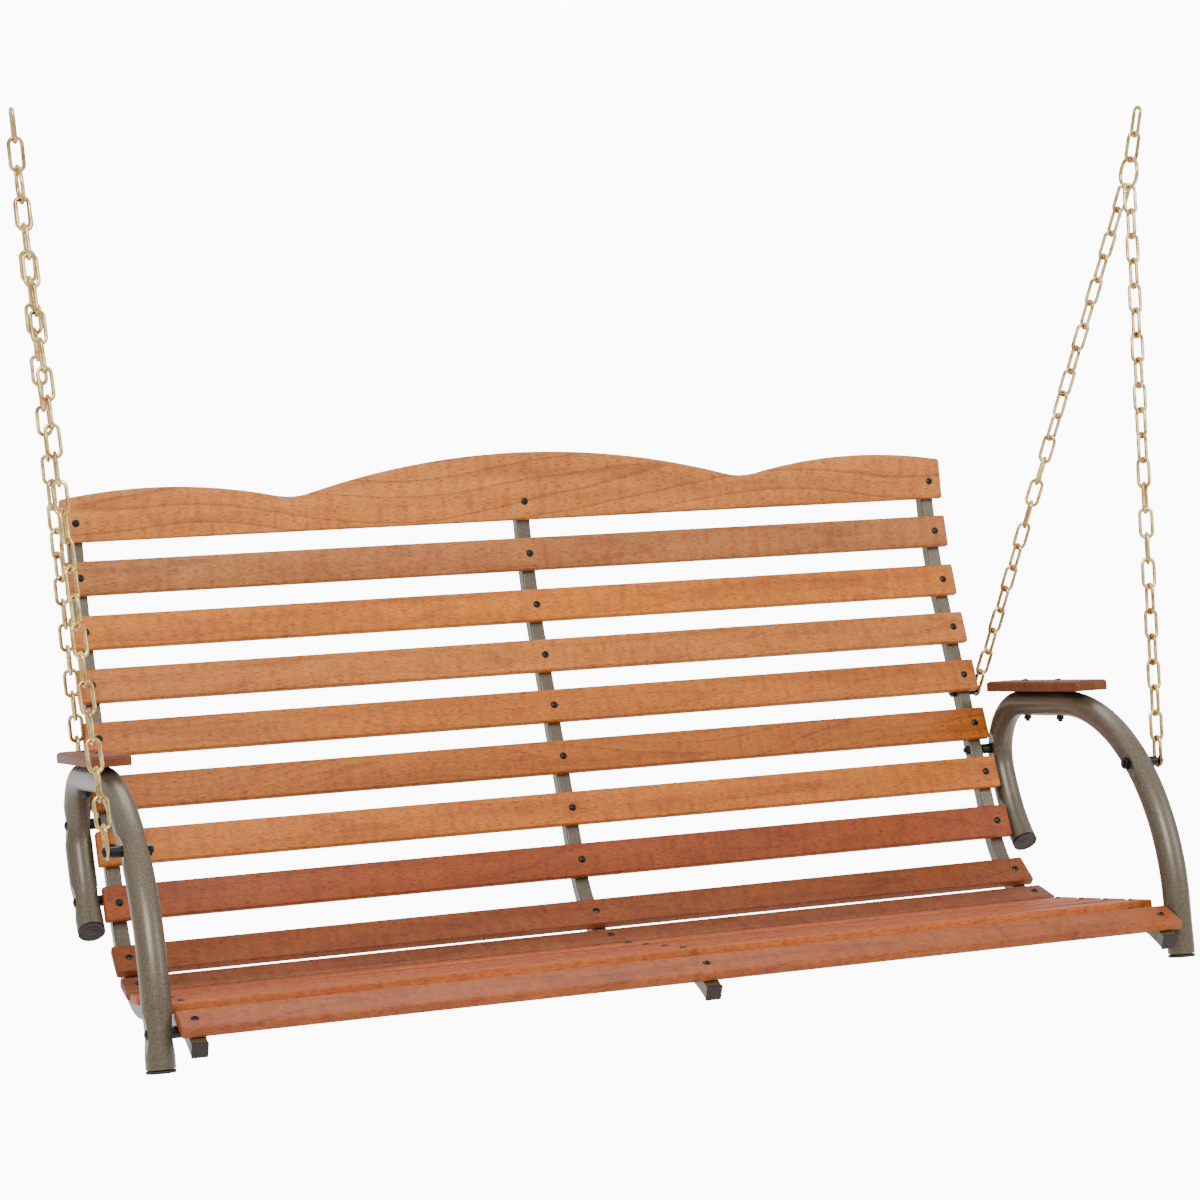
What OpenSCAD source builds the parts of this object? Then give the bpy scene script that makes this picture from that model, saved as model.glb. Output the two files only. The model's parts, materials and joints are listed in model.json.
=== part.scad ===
// Two-seat porch swing: a slatted hardwood bench on three bent ribs with tubular
// arms, hung on two pairs of chains that meet at a ring on each side.
//
// The bench is drawn with its seat level: +X to the right as seen from the front,
// +Z up, the sitter faces -Y, and the origin is the corner where the line of the
// seat faces and the line of the back faces would meet. hang() then tips the bench
// to the angle at which it balances. The finished part has its origin midway
// between the two hanging points.

/* [Slats] */
// Length of every slat
slat_l = 1258; // [1240:1:1260]
// Width of a straight slat
slat_w = 45; // [42:0.5:48]
// Thickness of a slat
slat_t = 12.5; // [11.5:0.5:13.5]
// Radius of the eased long edges
slat_ease = 3; // [1:0.5:4]
// Distance between slat centres on the back
back_pitch = 71.7; // [70:0.1:72]
// Distance between slat centres on the seat
seat_pitch = 64; // [62:0.5:65]

/* [Crest board] */
// Height of the middle hump above the lower edge
crest_mid_h = 92.5; // [86:0.5:100]
// Radius of the middle hump
crest_mid_r = 1070; // [1000:10:1140]
// Height of the outer humps above the lower edge
crest_side_h = 67.5; // [62:0.5:72]
// Radius of the outer humps
crest_side_r = 709; // [660:1:760]
// Distance from the middle to the top of an outer hump
crest_side_x = 504; // [490:1:520]
// Radius of the hollows between the humps
crest_dip_r = 90; // [60:5:130]
// Height of the screw line above the lower edge
crest_screw_h = 24.6; // [22:0.2:28]

/* [Ribs] */
// Distance from the middle rib to each outer rib
rib_x = 610; // [609:0.5:611]
// Outside width of the square rib tube
rib_w = 19; // [18.5:0.5:19.5]
// Wall of the rib tube
rib_wall = 1.5; // [1:0.1:2]
// Lean of the straight part of the back from upright
back_lean = 16.2; // [15.8:0.1:16.6]
// Radius of the seat-to-back bend, at the slat faces
corner_r = 142; // [140:1:144]
// Radius of the bend under the knees, at the slat faces
knee_r = 160; // [156:1:164]
// Radius of the forward curve of the head of the back, at the slat faces
head_r = 650; // [620:10:680]

/* [Arms] */
// Distance from the middle of the bench to each arm tube
arm_x = 647.5; // [647:0.5:650]
// Outside diameter of the arm tube
arm_d = 34; // [33:0.5:34]
// Wall of the arm tube
arm_wall = 1.6; // [1.2:0.1:2]
// Depth of the pressed flats where bolts cross the tube
pinch = 4; // [3:0.5:4.5]
// Radius of the rear bend, at the tube's axis
arm_rear_r = 74; // [72:1:76]
// Radius of the front sweep, at the tube's axis
arm_front_r = 257; // [254:1:260]
// Length of the straight under the armrest
arm_top_l = 120; // [116:1:124]
// Length of an armrest board
rest_l = 254; // [240:1:260]
// Width of an armrest board
rest_w = 47; // [44:0.5:50]
// Thickness of an armrest board
rest_t = 14; // [12:0.5:16]
// Distance between the two bolts of an armrest
rest_bolt_gap = 92; // [84:1:100]

/* [Chains] */
// Wire diameter of the chain
wire = 4.7; // [4.4:0.1:4.8]
// Inside length of a link
link_in = 33; // [32.8:0.1:33.2]
// Outside width of a link
link_w = 20; // [19.5:0.1:20.5]
// Outside diameter of a ring
ring_d = 46; // [45:0.5:47]
// Wire diameter of a ring
ring_wire = 5; // [4.8:0.1:5.2]
// Distance from the middle of the bench to each ring
ring_x = 721; // [718:0.5:725]
// Outward lean of a ring and of the links above it
lean = 5; // [4:0.5:6]

/* [Balance] */
// Angle at which the bench hangs, front edge up
hang_tilt = 17.6; // [16.5:0.1:18.5]

/* [Hidden] */

$fn = 48;
gap = 0.2;
lap = 0.1;
slim = 0.03;
L = -1;
R = 1;
wood = [0.75, 0.48, 0.30];
bronze = [0.45, 0.41, 0.34];
plug_brown = [0.29, 0.24, 0.22];
black = [0.08, 0.08, 0.08];
zinc = [0.80, 0.70, 0.45];

// ---- bent paths in the side view ----
// A place is [y, z, heading]. A stretch is [length, 0] where it is straight and
// [radius, turn] where it bends; a left turn is positive.
function arc_r(s) = s[0]*sign(s[1]);
function along(p, s) = s[1] == 0
    ? [p[0] + s[0]*cos(p[2]), p[1] + s[0]*sin(p[2]), p[2]]
    : [p[0] + arc_r(s)*(sin(p[2] + s[1]) - sin(p[2])),
       p[1] - arc_r(s)*(cos(p[2] + s[1]) - cos(p[2])), p[2] + s[1]];
function run_from(p, run, i = 0) =
    i == len(run) ? [p] : concat([p], run_from(along(p, run[i]), run, i + 1));
function run_l(s) = s[1] == 0 ? s[0] : s[0]*abs(s[1])*PI/180;
function piece(s, d) = s[1] == 0 ? [d, 0] : [s[0], sign(s[1])*d*180/(PI*s[0])];
function place(p, run, d, i = 0) = d <= run_l(run[i]) || i == len(run) - 1
    ? along(p, piece(run[i], d))
    : place(along(p, run[i]), run, d - run_l(run[i]), i + 1);
// A place or a run moved sideways, to the right of its heading
function shift(p, o) = [p[0] + o*sin(p[2]), p[1] - o*cos(p[2]), p[2]];
function aside(run, o) = [for (s = run) s[1] == 0 ? s : [s[0] + sign(s[1])*o, s[1]]];

// At a place: X stays X, +Y points to the right of the heading, +Z along it
module at_place(p) translate([0, p[0], p[1]]) rotate([p[2] - 90, 0, 0]) children();

module bend(p, s) {
    start = s[1] > 0 ? p[2] - 90 : p[2] + 90 + s[1];
    translate([0, p[0] - arc_r(s)*sin(p[2]), p[1] + arc_r(s)*cos(p[2])])
        rotate([90, 0, 90]) rotate(start)
            rotate_extrude(angle = abs(s[1]), $fn = 96) translate([s[0], 0]) rotate(90) children();
}

// A profile carried along a run; the profile is symmetric about both axes.
// Straights reach a little into the bends beside them, and are drawn a hair
// slimmer, so that they fuse.
module straights(p, run) {
    stops = run_from(p, run);
    last = len(run) - 1;
    for (i = [0:last]) if (run[i][1] == 0) {
        lap_0 = i == 0 ? 0 : lap;
        lap_1 = i == last ? 0 : lap;
        at_place(stops[i]) translate([0, 0, -lap_0]) linear_extrude(run[i][0] + lap_0 + lap_1) children();
    }
}
module bends(p, run) {
    stops = run_from(p, run);
    for (i = [0:len(run) - 1]) if (run[i][1] != 0) bend(stops[i], run[i]) children();
}

// ---- the line of the slat faces, from under the knees to the head ----
knee_end_l = 14;
knee_turn = 31.5;
seat_flat_l = 212.5;
corner_y = -109.5;
corner_turn = 90 - back_lean;
back_flat_l = 326;
head_turn = 17.5;
face_run = [[knee_end_l, 0], [knee_r, -knee_turn], [seat_flat_l, 0],
    [corner_r, corner_turn], [back_flat_l, 0], [head_r, head_turn]];
knee_top = [corner_y - seat_flat_l, 0, 180];
knee_tip = along(along(knee_top, [knee_r, knee_turn]), [knee_end_l, 0]);
face_start = [knee_tip[0], knee_tip[1], knee_turn];
corner_start = knee_end_l + run_l([knee_r, knee_turn]) + seat_flat_l;
function face(d) = place(face_start, face_run, corner_start + d);

rib_axis = slat_t + rib_w/2;
rib_back = slat_t + rib_w;
rib_start = shift(face_start, rib_axis);
rib_run = aside(face_run, rib_axis);
rib_top = run_from(rib_start, rib_run)[len(rib_run)];

// Stations of the slats along the face line, measured from the corner bend
seat_first = 46;
knee_slat = -284.8;
corner_slat = 105.8;
back_first = 185.6;
seat_at = [for (n = [1:6]) n == 6 ? knee_slat : seat_first - seat_pitch*(n - 1)];
back_at = [for (n = [1:9]) n == 9 ? corner_slat : back_first + back_pitch*(8 - n)];
all_at = concat(seat_at, back_at);

// A flat slat bridges a hollow bend, so it stands a little off the line
bearing = slat_w/2 - slat_ease/2;
function under(d) = shift(face(d), slat_t);
function ahead(p, q) = (p[0] - q[0])*sin(p[2]) + (q[1] - p[1])*cos(p[2]);
function rise(d) = max(0, ahead(under(d), under(d - bearing)), ahead(under(d), under(d + bearing)));

// ---- where the bolts run, [y, z] ----
arm_start = [24.3, 74.8, 51];
arm_run = [[215, 22.8], [20, 0], [arm_rear_r, 109.2], [arm_top_l, 0], [arm_front_r, 87], [70, 0]];
arm_ends = run_from(arm_start, arm_run);
chain_pin = place(arm_ends[4], [arm_run[4]], 202);
arm_pins = [shift(face(196), rib_axis - 1.5), shift(face(295), rib_axis - 4.4),
    shift(face(-269), rib_axis)];
rib_pin = shift(face(382.7), rib_axis - 1);

arm_pin_r = 3;
chain_pin_r = 4;
slat_pin_r = 2.5;
fit = 0.2;
dish = 0.35;
arm_out = arm_x + arm_d/2 - pinch + dish;
arm_in = arm_x - arm_d/2 + pinch - dish;
rib_out = rib_x + rib_w/2;
rib_in = rib_x - rib_w/2;
front_link_x = 678;
rear_link_x = 634;
link_room = 3.4;

// ---- rings, hinges and the way the bench hangs ----
links = 23;
bow = (link_w - wire)/2;
ring_r = (ring_d - ring_wire)/2;
first_bow = ring_r - ring_wire/2 - wire/2 - gap;
pitch = link_in - gap;
chain_l = first_bow + links*pitch + wire/2 - chain_pin_r;
// Meeting point of two circles, on the left of the line from the first centre to the second
function meet(a, ra, b, rb) = let (d = norm(b - a), u = (b - a)/d, t = (d*d + ra*ra - rb*rb)/(2*d))
    a + t*u + sqrt(ra*ra - t*t)*[-u[1], u[0]];
function flat_l(x) = sqrt(chain_l*chain_l - (ring_x - x)*(ring_x - x));
front_pin = [chain_pin[0], chain_pin[1]];
rear_pin = [rib_pin[0], rib_pin[1]];
ring_at = meet(front_pin, flat_l(front_link_x), rear_pin, flat_l(rear_link_x));
ring_drop = ring_r - ring_wire/2 - wire/2 - gap;
hinge_at = ring_at + ring_drop*cos(lean)*[-sin(hang_tilt), cos(hang_tilt)];
link_2_down = link_in - wire/2 - gap;
hinge_down = link_2_down + link_in + wire;

module hang() translate([0, 0, -hinge_down*cos(lean)]) rotate([-hang_tilt, 0, 0])
    translate([0, -hinge_at[0], -hinge_at[1]]) children();
module on(side) mirror([side == L ? 1 : 0, 0, 0]) children();

// ---- shared shapes ----
module rounded(w, h, r) {
    square([w - 2*r, h], center = true);
    square([w, h - 2*r], center = true);
    for (x = [-1, 1], y = [-1, 1]) translate([x*(w/2 - r), y*(h/2 - r)]) circle(r);
}
// Bolt with a domed head, pointing up from under its head
module bolt(r, l, head_r, head_h) {
    dome_r = (head_r*head_r + head_h*head_h)/(2*head_h);
    cylinder(h = l, r = r);
    rotate_extrude() intersection() {
        translate([0, dome_r - head_h]) circle(dome_r, $fn = 96);
        translate([0, -head_h]) square([head_r, head_h]);
    }
}
module nut(flats, h, bore) difference() {
    cylinder(h = h, r = flats/sqrt(3), $fn = 6);
    translate([0, 0, -1]) cylinder(h = h + 2, r = bore);
}
module sleeve(r, h, bore) difference() {
    cylinder(h = h, r = r);
    translate([0, 0, -1]) cylinder(h = h + 2, r = bore);
}
module across(p, x) translate([x, p[0], p[1]]) rotate([0, 90, 0]) children();
module bores_x(p, x, l, r) across(p, x - l/2) cylinder(h = l, r = r);

// ---- slats ----
module slat_bores(d) at_place(face(d)) for (x = [-rib_x, 0, rib_x])
    translate([x, -rise(d) - 1, 0]) rotate([-90, 0, 0]) cylinder(h = slat_t + 2, r = slat_pin_r + fit);
module slat(d) color(wood) hang() difference() {
    at_place(face(d)) translate([-slat_l/2, slat_t/2 - rise(d), 0]) rotate([90, 0, 90])
        linear_extrude(slat_l) rounded(slat_t, slat_w, slat_ease);
    slat_bores(d);
}

side_c = [crest_side_x, crest_side_h - crest_side_r];
mid_c = [0, crest_mid_h - crest_mid_r];
dip_c = meet(mid_c, crest_mid_r + crest_dip_r, side_c, crest_side_r + crest_dip_r);
mid_touch = dip_c[0]*crest_mid_r/(crest_mid_r + crest_dip_r);
side_touch = side_c[0] + (dip_c[0] - side_c[0])*crest_side_r/(crest_side_r + crest_dip_r);
function arc_z(c, r, x) = c[1] + sign(r)*sqrt(r*r - (x - c[0])*(x - c[0]));
function crest_z(x) = x < mid_touch ? arc_z(mid_c, crest_mid_r, x)
    : x < side_touch ? arc_z(dip_c, -crest_dip_r, x) : arc_z(side_c, crest_side_r, x);
crest_steps = 68;
crest_top = [for (i = [-crest_steps:crest_steps]) let (x = i*slat_l/2/crest_steps) [x, crest_z(abs(x))]];
module crest_board() color(wood) hang() difference() {
    at_place(face(back_at[0])) translate([0, slat_t - rise(back_at[0]), -crest_screw_h])
        rotate([90, 0, 0]) linear_extrude(slat_t)
            polygon(concat([[slat_l/2, 0], [-slat_l/2, 0]], crest_top));
    slat_bores(back_at[0]);
}
module back_slat(n) slat(back_at[n - 1]);
module seat_slat(n) slat(seat_at[n - 1]);

slat_head_r = 5;
slat_head_h = 2.2;
slat_nut = 8;
slat_nut_h = 4;
module slat_screws(x) color(black) hang() for (d = all_at)
    at_place(face(d)) translate([x, -rise(d), 0]) rotate([-90, 0, 0])
        bolt(slat_pin_r, rib_back + rise(d) + slat_nut_h + 2, slat_head_r, slat_head_h);
module slat_nuts(x) color(black) hang() for (d = all_at)
    at_place(face(d)) translate([x, rib_back + fit/2, 0]) rotate([-90, 0, 0])
        nut(slat_nut, slat_nut_h, slat_pin_r + fit/2);

// ---- ribs ----
rib_corner = 2;
rib_void = rib_w - 2*rib_wall;
plug_l = 12;
plug_lip = 2.5;
module rib(x, outer) color(bronze) hang() difference() {
    translate([x, 0, 0]) {
        bends(rib_start, rib_run) rounded(rib_w, rib_w, rib_corner);
        straights(rib_start, rib_run) rounded(rib_w - 2*slim, rib_w - 2*slim, rib_corner);
    }
    translate([x, 0, 0]) {
        bends(rib_start, rib_run) square(rib_void, center = true);
        straights(rib_start, rib_run) square(rib_void - 2*slim, center = true);
    }
    for (d = all_at) at_place(face(d)) translate([x, slat_t - 3, 0])
        rotate([-90, 0, 0]) cylinder(h = rib_w + 6, r = slat_pin_r + fit);
    if (outer) {
        for (p = arm_pins) bores_x(p, x, rib_w + 2, arm_pin_r + fit);
        bores_x(rib_pin, x, rib_w + 2, chain_pin_r + fit);
    }
}
module rib_plug() {
    linear_extrude(plug_lip) rounded(rib_w, rib_w, rib_corner);
    translate([0, 0, -plug_l]) linear_extrude(plug_l) square(rib_void - fit, center = true);
}
module rib_front_plugs() color(plug_brown) hang() for (x = [-rib_x, 0, rib_x])
    translate([x, 0, 0]) at_place(rib_start) rotate([180, 0, 0]) rib_plug();
module rib_top_plugs() color(plug_brown) hang() for (x = [-rib_x, 0, rib_x])
    translate([x, 0, 0]) at_place(rib_top) rib_plug();

// ---- arms ----
press_r = 80;
module presses(extra) for (p = concat(arm_pins, [chain_pin]), s = [-1, 1])
    translate([arm_x + s*(press_r + arm_d/2 - pinch), p[0], p[1]]) sphere(press_r + extra, $fn = 96);
module arm_rod(r, extra) difference() {
    translate([arm_x, 0, 0]) {
        bends(arm_start, arm_run) circle(r);
        straights(arm_start, arm_run) circle(r - slim);
    }
    presses(extra);
}
rest_at = place(arm_ends[3], [arm_run[3]], arm_top_l/2);
module on_rest() translate([arm_x, 0, 0]) at_place(rest_at) rotate([-90, 0, 0]) children();
module arm_tube(side) color(bronze) hang() on(side) difference() {
    arm_rod(arm_d/2, 0);
    arm_rod(arm_d/2 - arm_wall, arm_wall);
    for (p = arm_pins) bores_x(p, arm_x, arm_d + 2, arm_pin_r + fit);
    bores_x(chain_pin, arm_x, arm_d + 2, chain_pin_r + fit);
    on_rest() for (y = [-1, 1]) translate([0, y*rest_bolt_gap/2, -arm_d])
        cylinder(h = 2*arm_d, r = arm_pin_r + fit);
}
cap_lip = 3;
cap_l = 12;
cap_slack = 0.6;
module arm_cap() {
    rotate_extrude() {
        square([arm_d/2 - 1, cap_lip]);
        square([arm_d/2, cap_lip - 1]);
        translate([arm_d/2 - 1, cap_lip - 1]) intersection() {
            circle(1);
            square(1);
        }
    }
    translate([0, 0, -cap_l]) cylinder(h = cap_l, r = arm_d/2 - arm_wall - cap_slack);
}
module arm_rear_cap(side) color(plug_brown) hang() on(side)
    translate([arm_x, 0, 0]) at_place(arm_start) rotate([180, 0, 0]) arm_cap();
module arm_foot_cap(side) color(plug_brown) hang() on(side)
    translate([arm_x, 0, 0]) at_place(arm_ends[len(arm_run)]) arm_cap();

rest_edge = 4;
rest_ahead = 9.5;
rest_end_r = 10;
module armrest(side) color(wood) hang() on(side) on_rest() difference() {
    translate([0, -rest_ahead, arm_d/2]) intersection() {
        linear_extrude(rest_t) rounded(rest_w, rest_l, rest_end_r);
        translate([0, rest_l, 0]) rotate([90, 0, 0]) linear_extrude(2*rest_l) union() {
            translate([0, rest_t/2]) rounded(rest_w, rest_t, rest_edge);
            translate([-rest_w/2 + 1, 0]) square([rest_w - 2, rest_t/2]);
        }
    }
    for (y = [-1, 1]) translate([0, y*rest_bolt_gap/2, 0]) cylinder(h = 2*arm_d, r = arm_pin_r + fit);
}
rest_nut_h = 5;
module armrest_bolts(side) color(black) hang() on(side) on_rest() for (y = [-1, 1])
    translate([0, y*rest_bolt_gap/2, arm_d/2 + rest_t]) rotate([180, 0, 0])
        bolt(arm_pin_r, rest_t + arm_d + rest_nut_h + 3, 6, 2.6);
module armrest_nuts(side) color(black) hang() on(side) on_rest() for (y = [-1, 1])
    translate([0, y*rest_bolt_gap/2, -arm_d/2 - rest_nut_h]) nut(10, rest_nut_h, arm_pin_r + fit/2);

arm_nut_h = 5;
module arm_bolts(side) color(black) hang() on(side) for (p = arm_pins)
    translate([arm_out, p[0], p[1]]) rotate([0, -90, 0])
        bolt(arm_pin_r, arm_out - rib_in + arm_nut_h + 3, 6.5, 3);
module arm_spacers(side) color(black) hang() on(side) for (p = arm_pins)
    across(p, rib_out) sleeve(7, arm_in - rib_out, arm_pin_r + fit);
module arm_nuts(side) color(black) hang() on(side) for (p = arm_pins)
    across(p, rib_in - arm_nut_h) nut(10, arm_nut_h, arm_pin_r + fit/2);

// ---- chains ----
module link(inner) {
    leg = inner + wire - 2*bow;
    translate([0, 0, -bow]) rotate([90, 0, 0]) rotate_extrude(angle = 180) translate([bow, 0]) circle(wire/2);
    translate([0, 0, -bow - leg]) rotate([-90, 0, 0])
        rotate_extrude(angle = 180) translate([bow, 0]) circle(wire/2);
    for (x = [-bow, bow]) translate([x, 0, -bow - leg]) cylinder(h = leg, r = wire/2);
}
// The last link lies flat against the bolt, so the middle links share a quarter turn
twist_from = 8;
twist_to = 16;
function twist(i) = 90*i + 90*min(1, max(0, (i - twist_from)/(twist_to - twist_from)));
module chain(x, p) {
    v = [x - ring_x, p[0] - ring_at[0], p[1] - ring_at[1]];
    translate([ring_x, ring_at[0], ring_at[1]])
        rotate([atan2(v[1], -v[2]), 0, 0]) rotate([0, -asin(v[0]/norm(v)), 0])
            for (i = [0:links - 1]) translate([0, 0, -first_bow - i*pitch]) rotate(twist(i)) link(link_in);
}
module chain_front(side) color(zinc) hang() on(side) chain(front_link_x, chain_pin);
module chain_rear(side) color(zinc) hang() on(side) chain(rear_link_x, rib_pin);
module ring(side) color(zinc) hang() on(side) translate([ring_x, ring_at[0], ring_at[1]])
    rotate([hang_tilt, 0, 0]) rotate([0, lean + 90, 0]) rotate_extrude($fn = 96) translate([ring_r, 0]) circle(ring_wire/2);

chain_nut_h = 6.5;
chain_head_r = 7;
chain_spacer_r = 6.5;
module chain_bolt(p, from, to) translate([from, p[0], p[1]]) rotate([0, -90, 0])
    bolt(chain_pin_r, from - to, chain_head_r, 3.5);
module chain_bolts(side) color(black) hang() on(side) {
    chain_bolt(chain_pin, front_link_x + link_room, arm_in - chain_nut_h - 2);
    chain_bolt(rib_pin, rear_link_x + link_room, rib_in - chain_nut_h - 2);
}
module chain_spacers(side) color(black) hang() on(side) {
    across(chain_pin, arm_out) sleeve(chain_spacer_r, front_link_x - link_room - arm_out, chain_pin_r + fit);
    across(rib_pin, rib_out) sleeve(chain_spacer_r, rear_link_x - link_room - rib_out, chain_pin_r + fit);
}
module chain_nuts(side) color(black) hang() on(side) {
    across(chain_pin, arm_in - chain_nut_h) nut(13, chain_nut_h, chain_pin_r + fit/2);
    across(rib_pin, rib_in - chain_nut_h) nut(13, chain_nut_h, chain_pin_r + fit/2);
}

// The two links above a ring lean outward, in line with the pull of the chains
hook_x = ring_x + (hinge_down + ring_drop)*sin(lean);
module hanger(side, down) color(zinc) on(side) translate([hook_x, 0, 0])
    rotate([0, lean, 0]) translate([0, 0, -down]) children();
module upper_link(side) hanger(side, link_2_down) link(link_in);
module top_link(side) hanger(side, -wire/2) rotate(90) link(link_in);

crest_board();
back_slat(2);  // back_slat_2
back_slat(3);  // back_slat_3
back_slat(4);  // back_slat_4
back_slat(5);  // back_slat_5
back_slat(6);  // back_slat_6
back_slat(7);  // back_slat_7
back_slat(8);  // back_slat_8
back_slat(9);  // back_slat_9
seat_slat(1);  // seat_slat_1
seat_slat(2);  // seat_slat_2
seat_slat(3);  // seat_slat_3
seat_slat(4);  // seat_slat_4
seat_slat(5);  // seat_slat_5
seat_slat(6);  // seat_slat_6
rib(-rib_x, true);  // rib_left
rib(0, false);  // rib_center
rib(rib_x, true);  // rib_right
rib_front_plugs();
rib_top_plugs();
slat_screws(-rib_x);  // slat_screws_left
slat_screws(0);  // slat_screws_center
slat_screws(rib_x);  // slat_screws_right
slat_nuts(-rib_x);  // slat_nuts_left
slat_nuts(0);  // slat_nuts_center
slat_nuts(rib_x);  // slat_nuts_right
arm_tube(L);  // arm_tube_left
arm_tube(R);  // arm_tube_right
arm_rear_cap(L);  // arm_rear_cap_left
arm_rear_cap(R);  // arm_rear_cap_right
arm_foot_cap(L);  // arm_foot_cap_left
arm_foot_cap(R);  // arm_foot_cap_right
armrest(L);  // armrest_left
armrest(R);  // armrest_right
armrest_bolts(L);  // armrest_bolts_left
armrest_bolts(R);  // armrest_bolts_right
armrest_nuts(L);  // armrest_nuts_left
armrest_nuts(R);  // armrest_nuts_right
arm_bolts(L);  // arm_bolts_left
arm_bolts(R);  // arm_bolts_right
arm_spacers(L);  // arm_spacers_left
arm_spacers(R);  // arm_spacers_right
arm_nuts(L);  // arm_nuts_left
arm_nuts(R);  // arm_nuts_right
chain_front(L);  // chain_front_left
chain_front(R);  // chain_front_right
chain_rear(L);  // chain_rear_left
chain_rear(R);  // chain_rear_right
ring(L);  // ring_left
ring(R);  // ring_right
chain_bolts(L);  // chain_bolts_left
chain_bolts(R);  // chain_bolts_right
chain_spacers(L);  // chain_spacers_left
chain_spacers(R);  // chain_spacers_right
chain_nuts(L);  // chain_nuts_left
chain_nuts(R);  // chain_nuts_right
upper_link(L);  // upper_link_left
upper_link(R);  // upper_link_right
top_link(L);  // top_link_left
top_link(R);  // top_link_right
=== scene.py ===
"""Two-seat porch swing: oiled hardwood slats, bronze powder-coated steel and yellow-zinc chain."""

import json
import logging
import math
from collections.abc import Callable
from dataclasses import dataclass
from enum import Enum

import bmesh
import bpy
from mathutils import Euler, Matrix, Vector

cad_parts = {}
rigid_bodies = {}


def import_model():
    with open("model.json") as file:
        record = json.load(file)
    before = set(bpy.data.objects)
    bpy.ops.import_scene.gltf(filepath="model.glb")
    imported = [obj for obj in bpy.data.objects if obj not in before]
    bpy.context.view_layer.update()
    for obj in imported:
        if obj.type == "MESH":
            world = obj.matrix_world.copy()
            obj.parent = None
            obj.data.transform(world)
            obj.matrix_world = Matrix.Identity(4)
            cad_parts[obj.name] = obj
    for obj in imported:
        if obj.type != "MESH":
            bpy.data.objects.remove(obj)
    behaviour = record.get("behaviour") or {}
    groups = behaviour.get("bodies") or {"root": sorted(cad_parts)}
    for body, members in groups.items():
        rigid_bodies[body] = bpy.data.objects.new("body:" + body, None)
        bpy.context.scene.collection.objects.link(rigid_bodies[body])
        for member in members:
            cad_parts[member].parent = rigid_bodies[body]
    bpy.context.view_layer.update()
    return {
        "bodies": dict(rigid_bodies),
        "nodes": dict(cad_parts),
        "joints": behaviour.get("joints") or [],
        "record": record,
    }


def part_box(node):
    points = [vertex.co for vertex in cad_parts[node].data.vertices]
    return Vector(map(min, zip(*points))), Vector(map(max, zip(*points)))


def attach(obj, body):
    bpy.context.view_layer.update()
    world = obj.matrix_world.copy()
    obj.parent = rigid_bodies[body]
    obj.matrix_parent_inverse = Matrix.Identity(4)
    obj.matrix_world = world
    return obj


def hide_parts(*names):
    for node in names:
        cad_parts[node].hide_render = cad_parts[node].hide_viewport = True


LOG = logging.getLogger("porch_swing")
MM = 0.001
NEAR = 1e-6  # metres: points nearer than this are taken as one
FAR = 1.0  # metres: past every piece that is modelled at the origin
SHARP = math.radians(40)  # edges that turn more than this are eased
SMOOTH = math.radians(35)  # faces that meet at less than this are shaded as one surface


# ---- small tools --------------------------------------------------------------


def linear(hex_colour: str) -> tuple[float, float, float, float]:
    """Turn an sRGB hex colour into linear values.

    Args:
        hex_colour: The colour, such as "#C58048".

    Returns:
        Red, green, blue and an alpha of one, all linear.
    """
    parts = [int(hex_colour[i : i + 2], 16) / 255 for i in (1, 3, 5)]
    return (*(p / 12.92 if p <= 0.04045 else ((p + 0.055) / 1.055) ** 2.4 for p in parts), 1.0)


def add_node(
    tree: bpy.types.NodeTree,
    kind: str,
    settings: dict[str, object] | None = None,
    values: dict[int | str, object] | None = None,
    links: dict[int | str, bpy.types.NodeSocket] | None = None,
) -> bpy.types.Node:
    """Add a shader node with its settings, input values and incoming links.

    Args:
        tree: The node tree to add to.
        kind: The node's type name, without its "ShaderNode" prefix.
        settings: Attributes of the node itself.
        values: Input values by socket name or index.
        links: Output sockets to link from, by input name or index.

    Returns:
        The new node.
    """
    node = tree.nodes.new("ShaderNode" + kind)
    for name, value in (settings or {}).items():
        setattr(node, name, value)
    for key, value in (values or {}).items():
        node.inputs[key].default_value = value
    for key, socket in (links or {}).items():
        tree.links.new(socket, node.inputs[key])
    return node


def ramp(
    tree: bpy.types.NodeTree, source: bpy.types.NodeSocket, stops: list[tuple[float, str]]
) -> bpy.types.NodeSocket:
    """Colour a value by a ramp of hex colours.

    Args:
        tree: The node tree to add to.
        source: The value to colour.
        stops: Positions from 0 to 1, each with its hex colour.

    Returns:
        The ramp's colour output.
    """
    node = add_node(tree, "ValToRGB", links={0: source})
    elements = node.color_ramp.elements
    while len(elements) < len(stops):
        elements.new(0.5)
    for element, (position, colour) in zip(elements, stops):
        element.position = position
        element.color = linear(colour)
    return node.outputs[0]


def new_material(name: str) -> tuple[bpy.types.Material, bpy.types.NodeTree, bpy.types.Node]:
    """Start a node material.

    Args:
        name: The material's name.

    Returns:
        The material, its node tree and its Principled shader.
    """
    material = bpy.data.materials.new(name)
    material.use_nodes = True
    return material, material.node_tree, material.node_tree.nodes["Principled BSDF"]


def place_of(tree: bpy.types.NodeTree) -> bpy.types.NodeSocket:
    """Give the place on the object, in metres."""
    return add_node(tree, "TexCoord").outputs["Object"]


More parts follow.
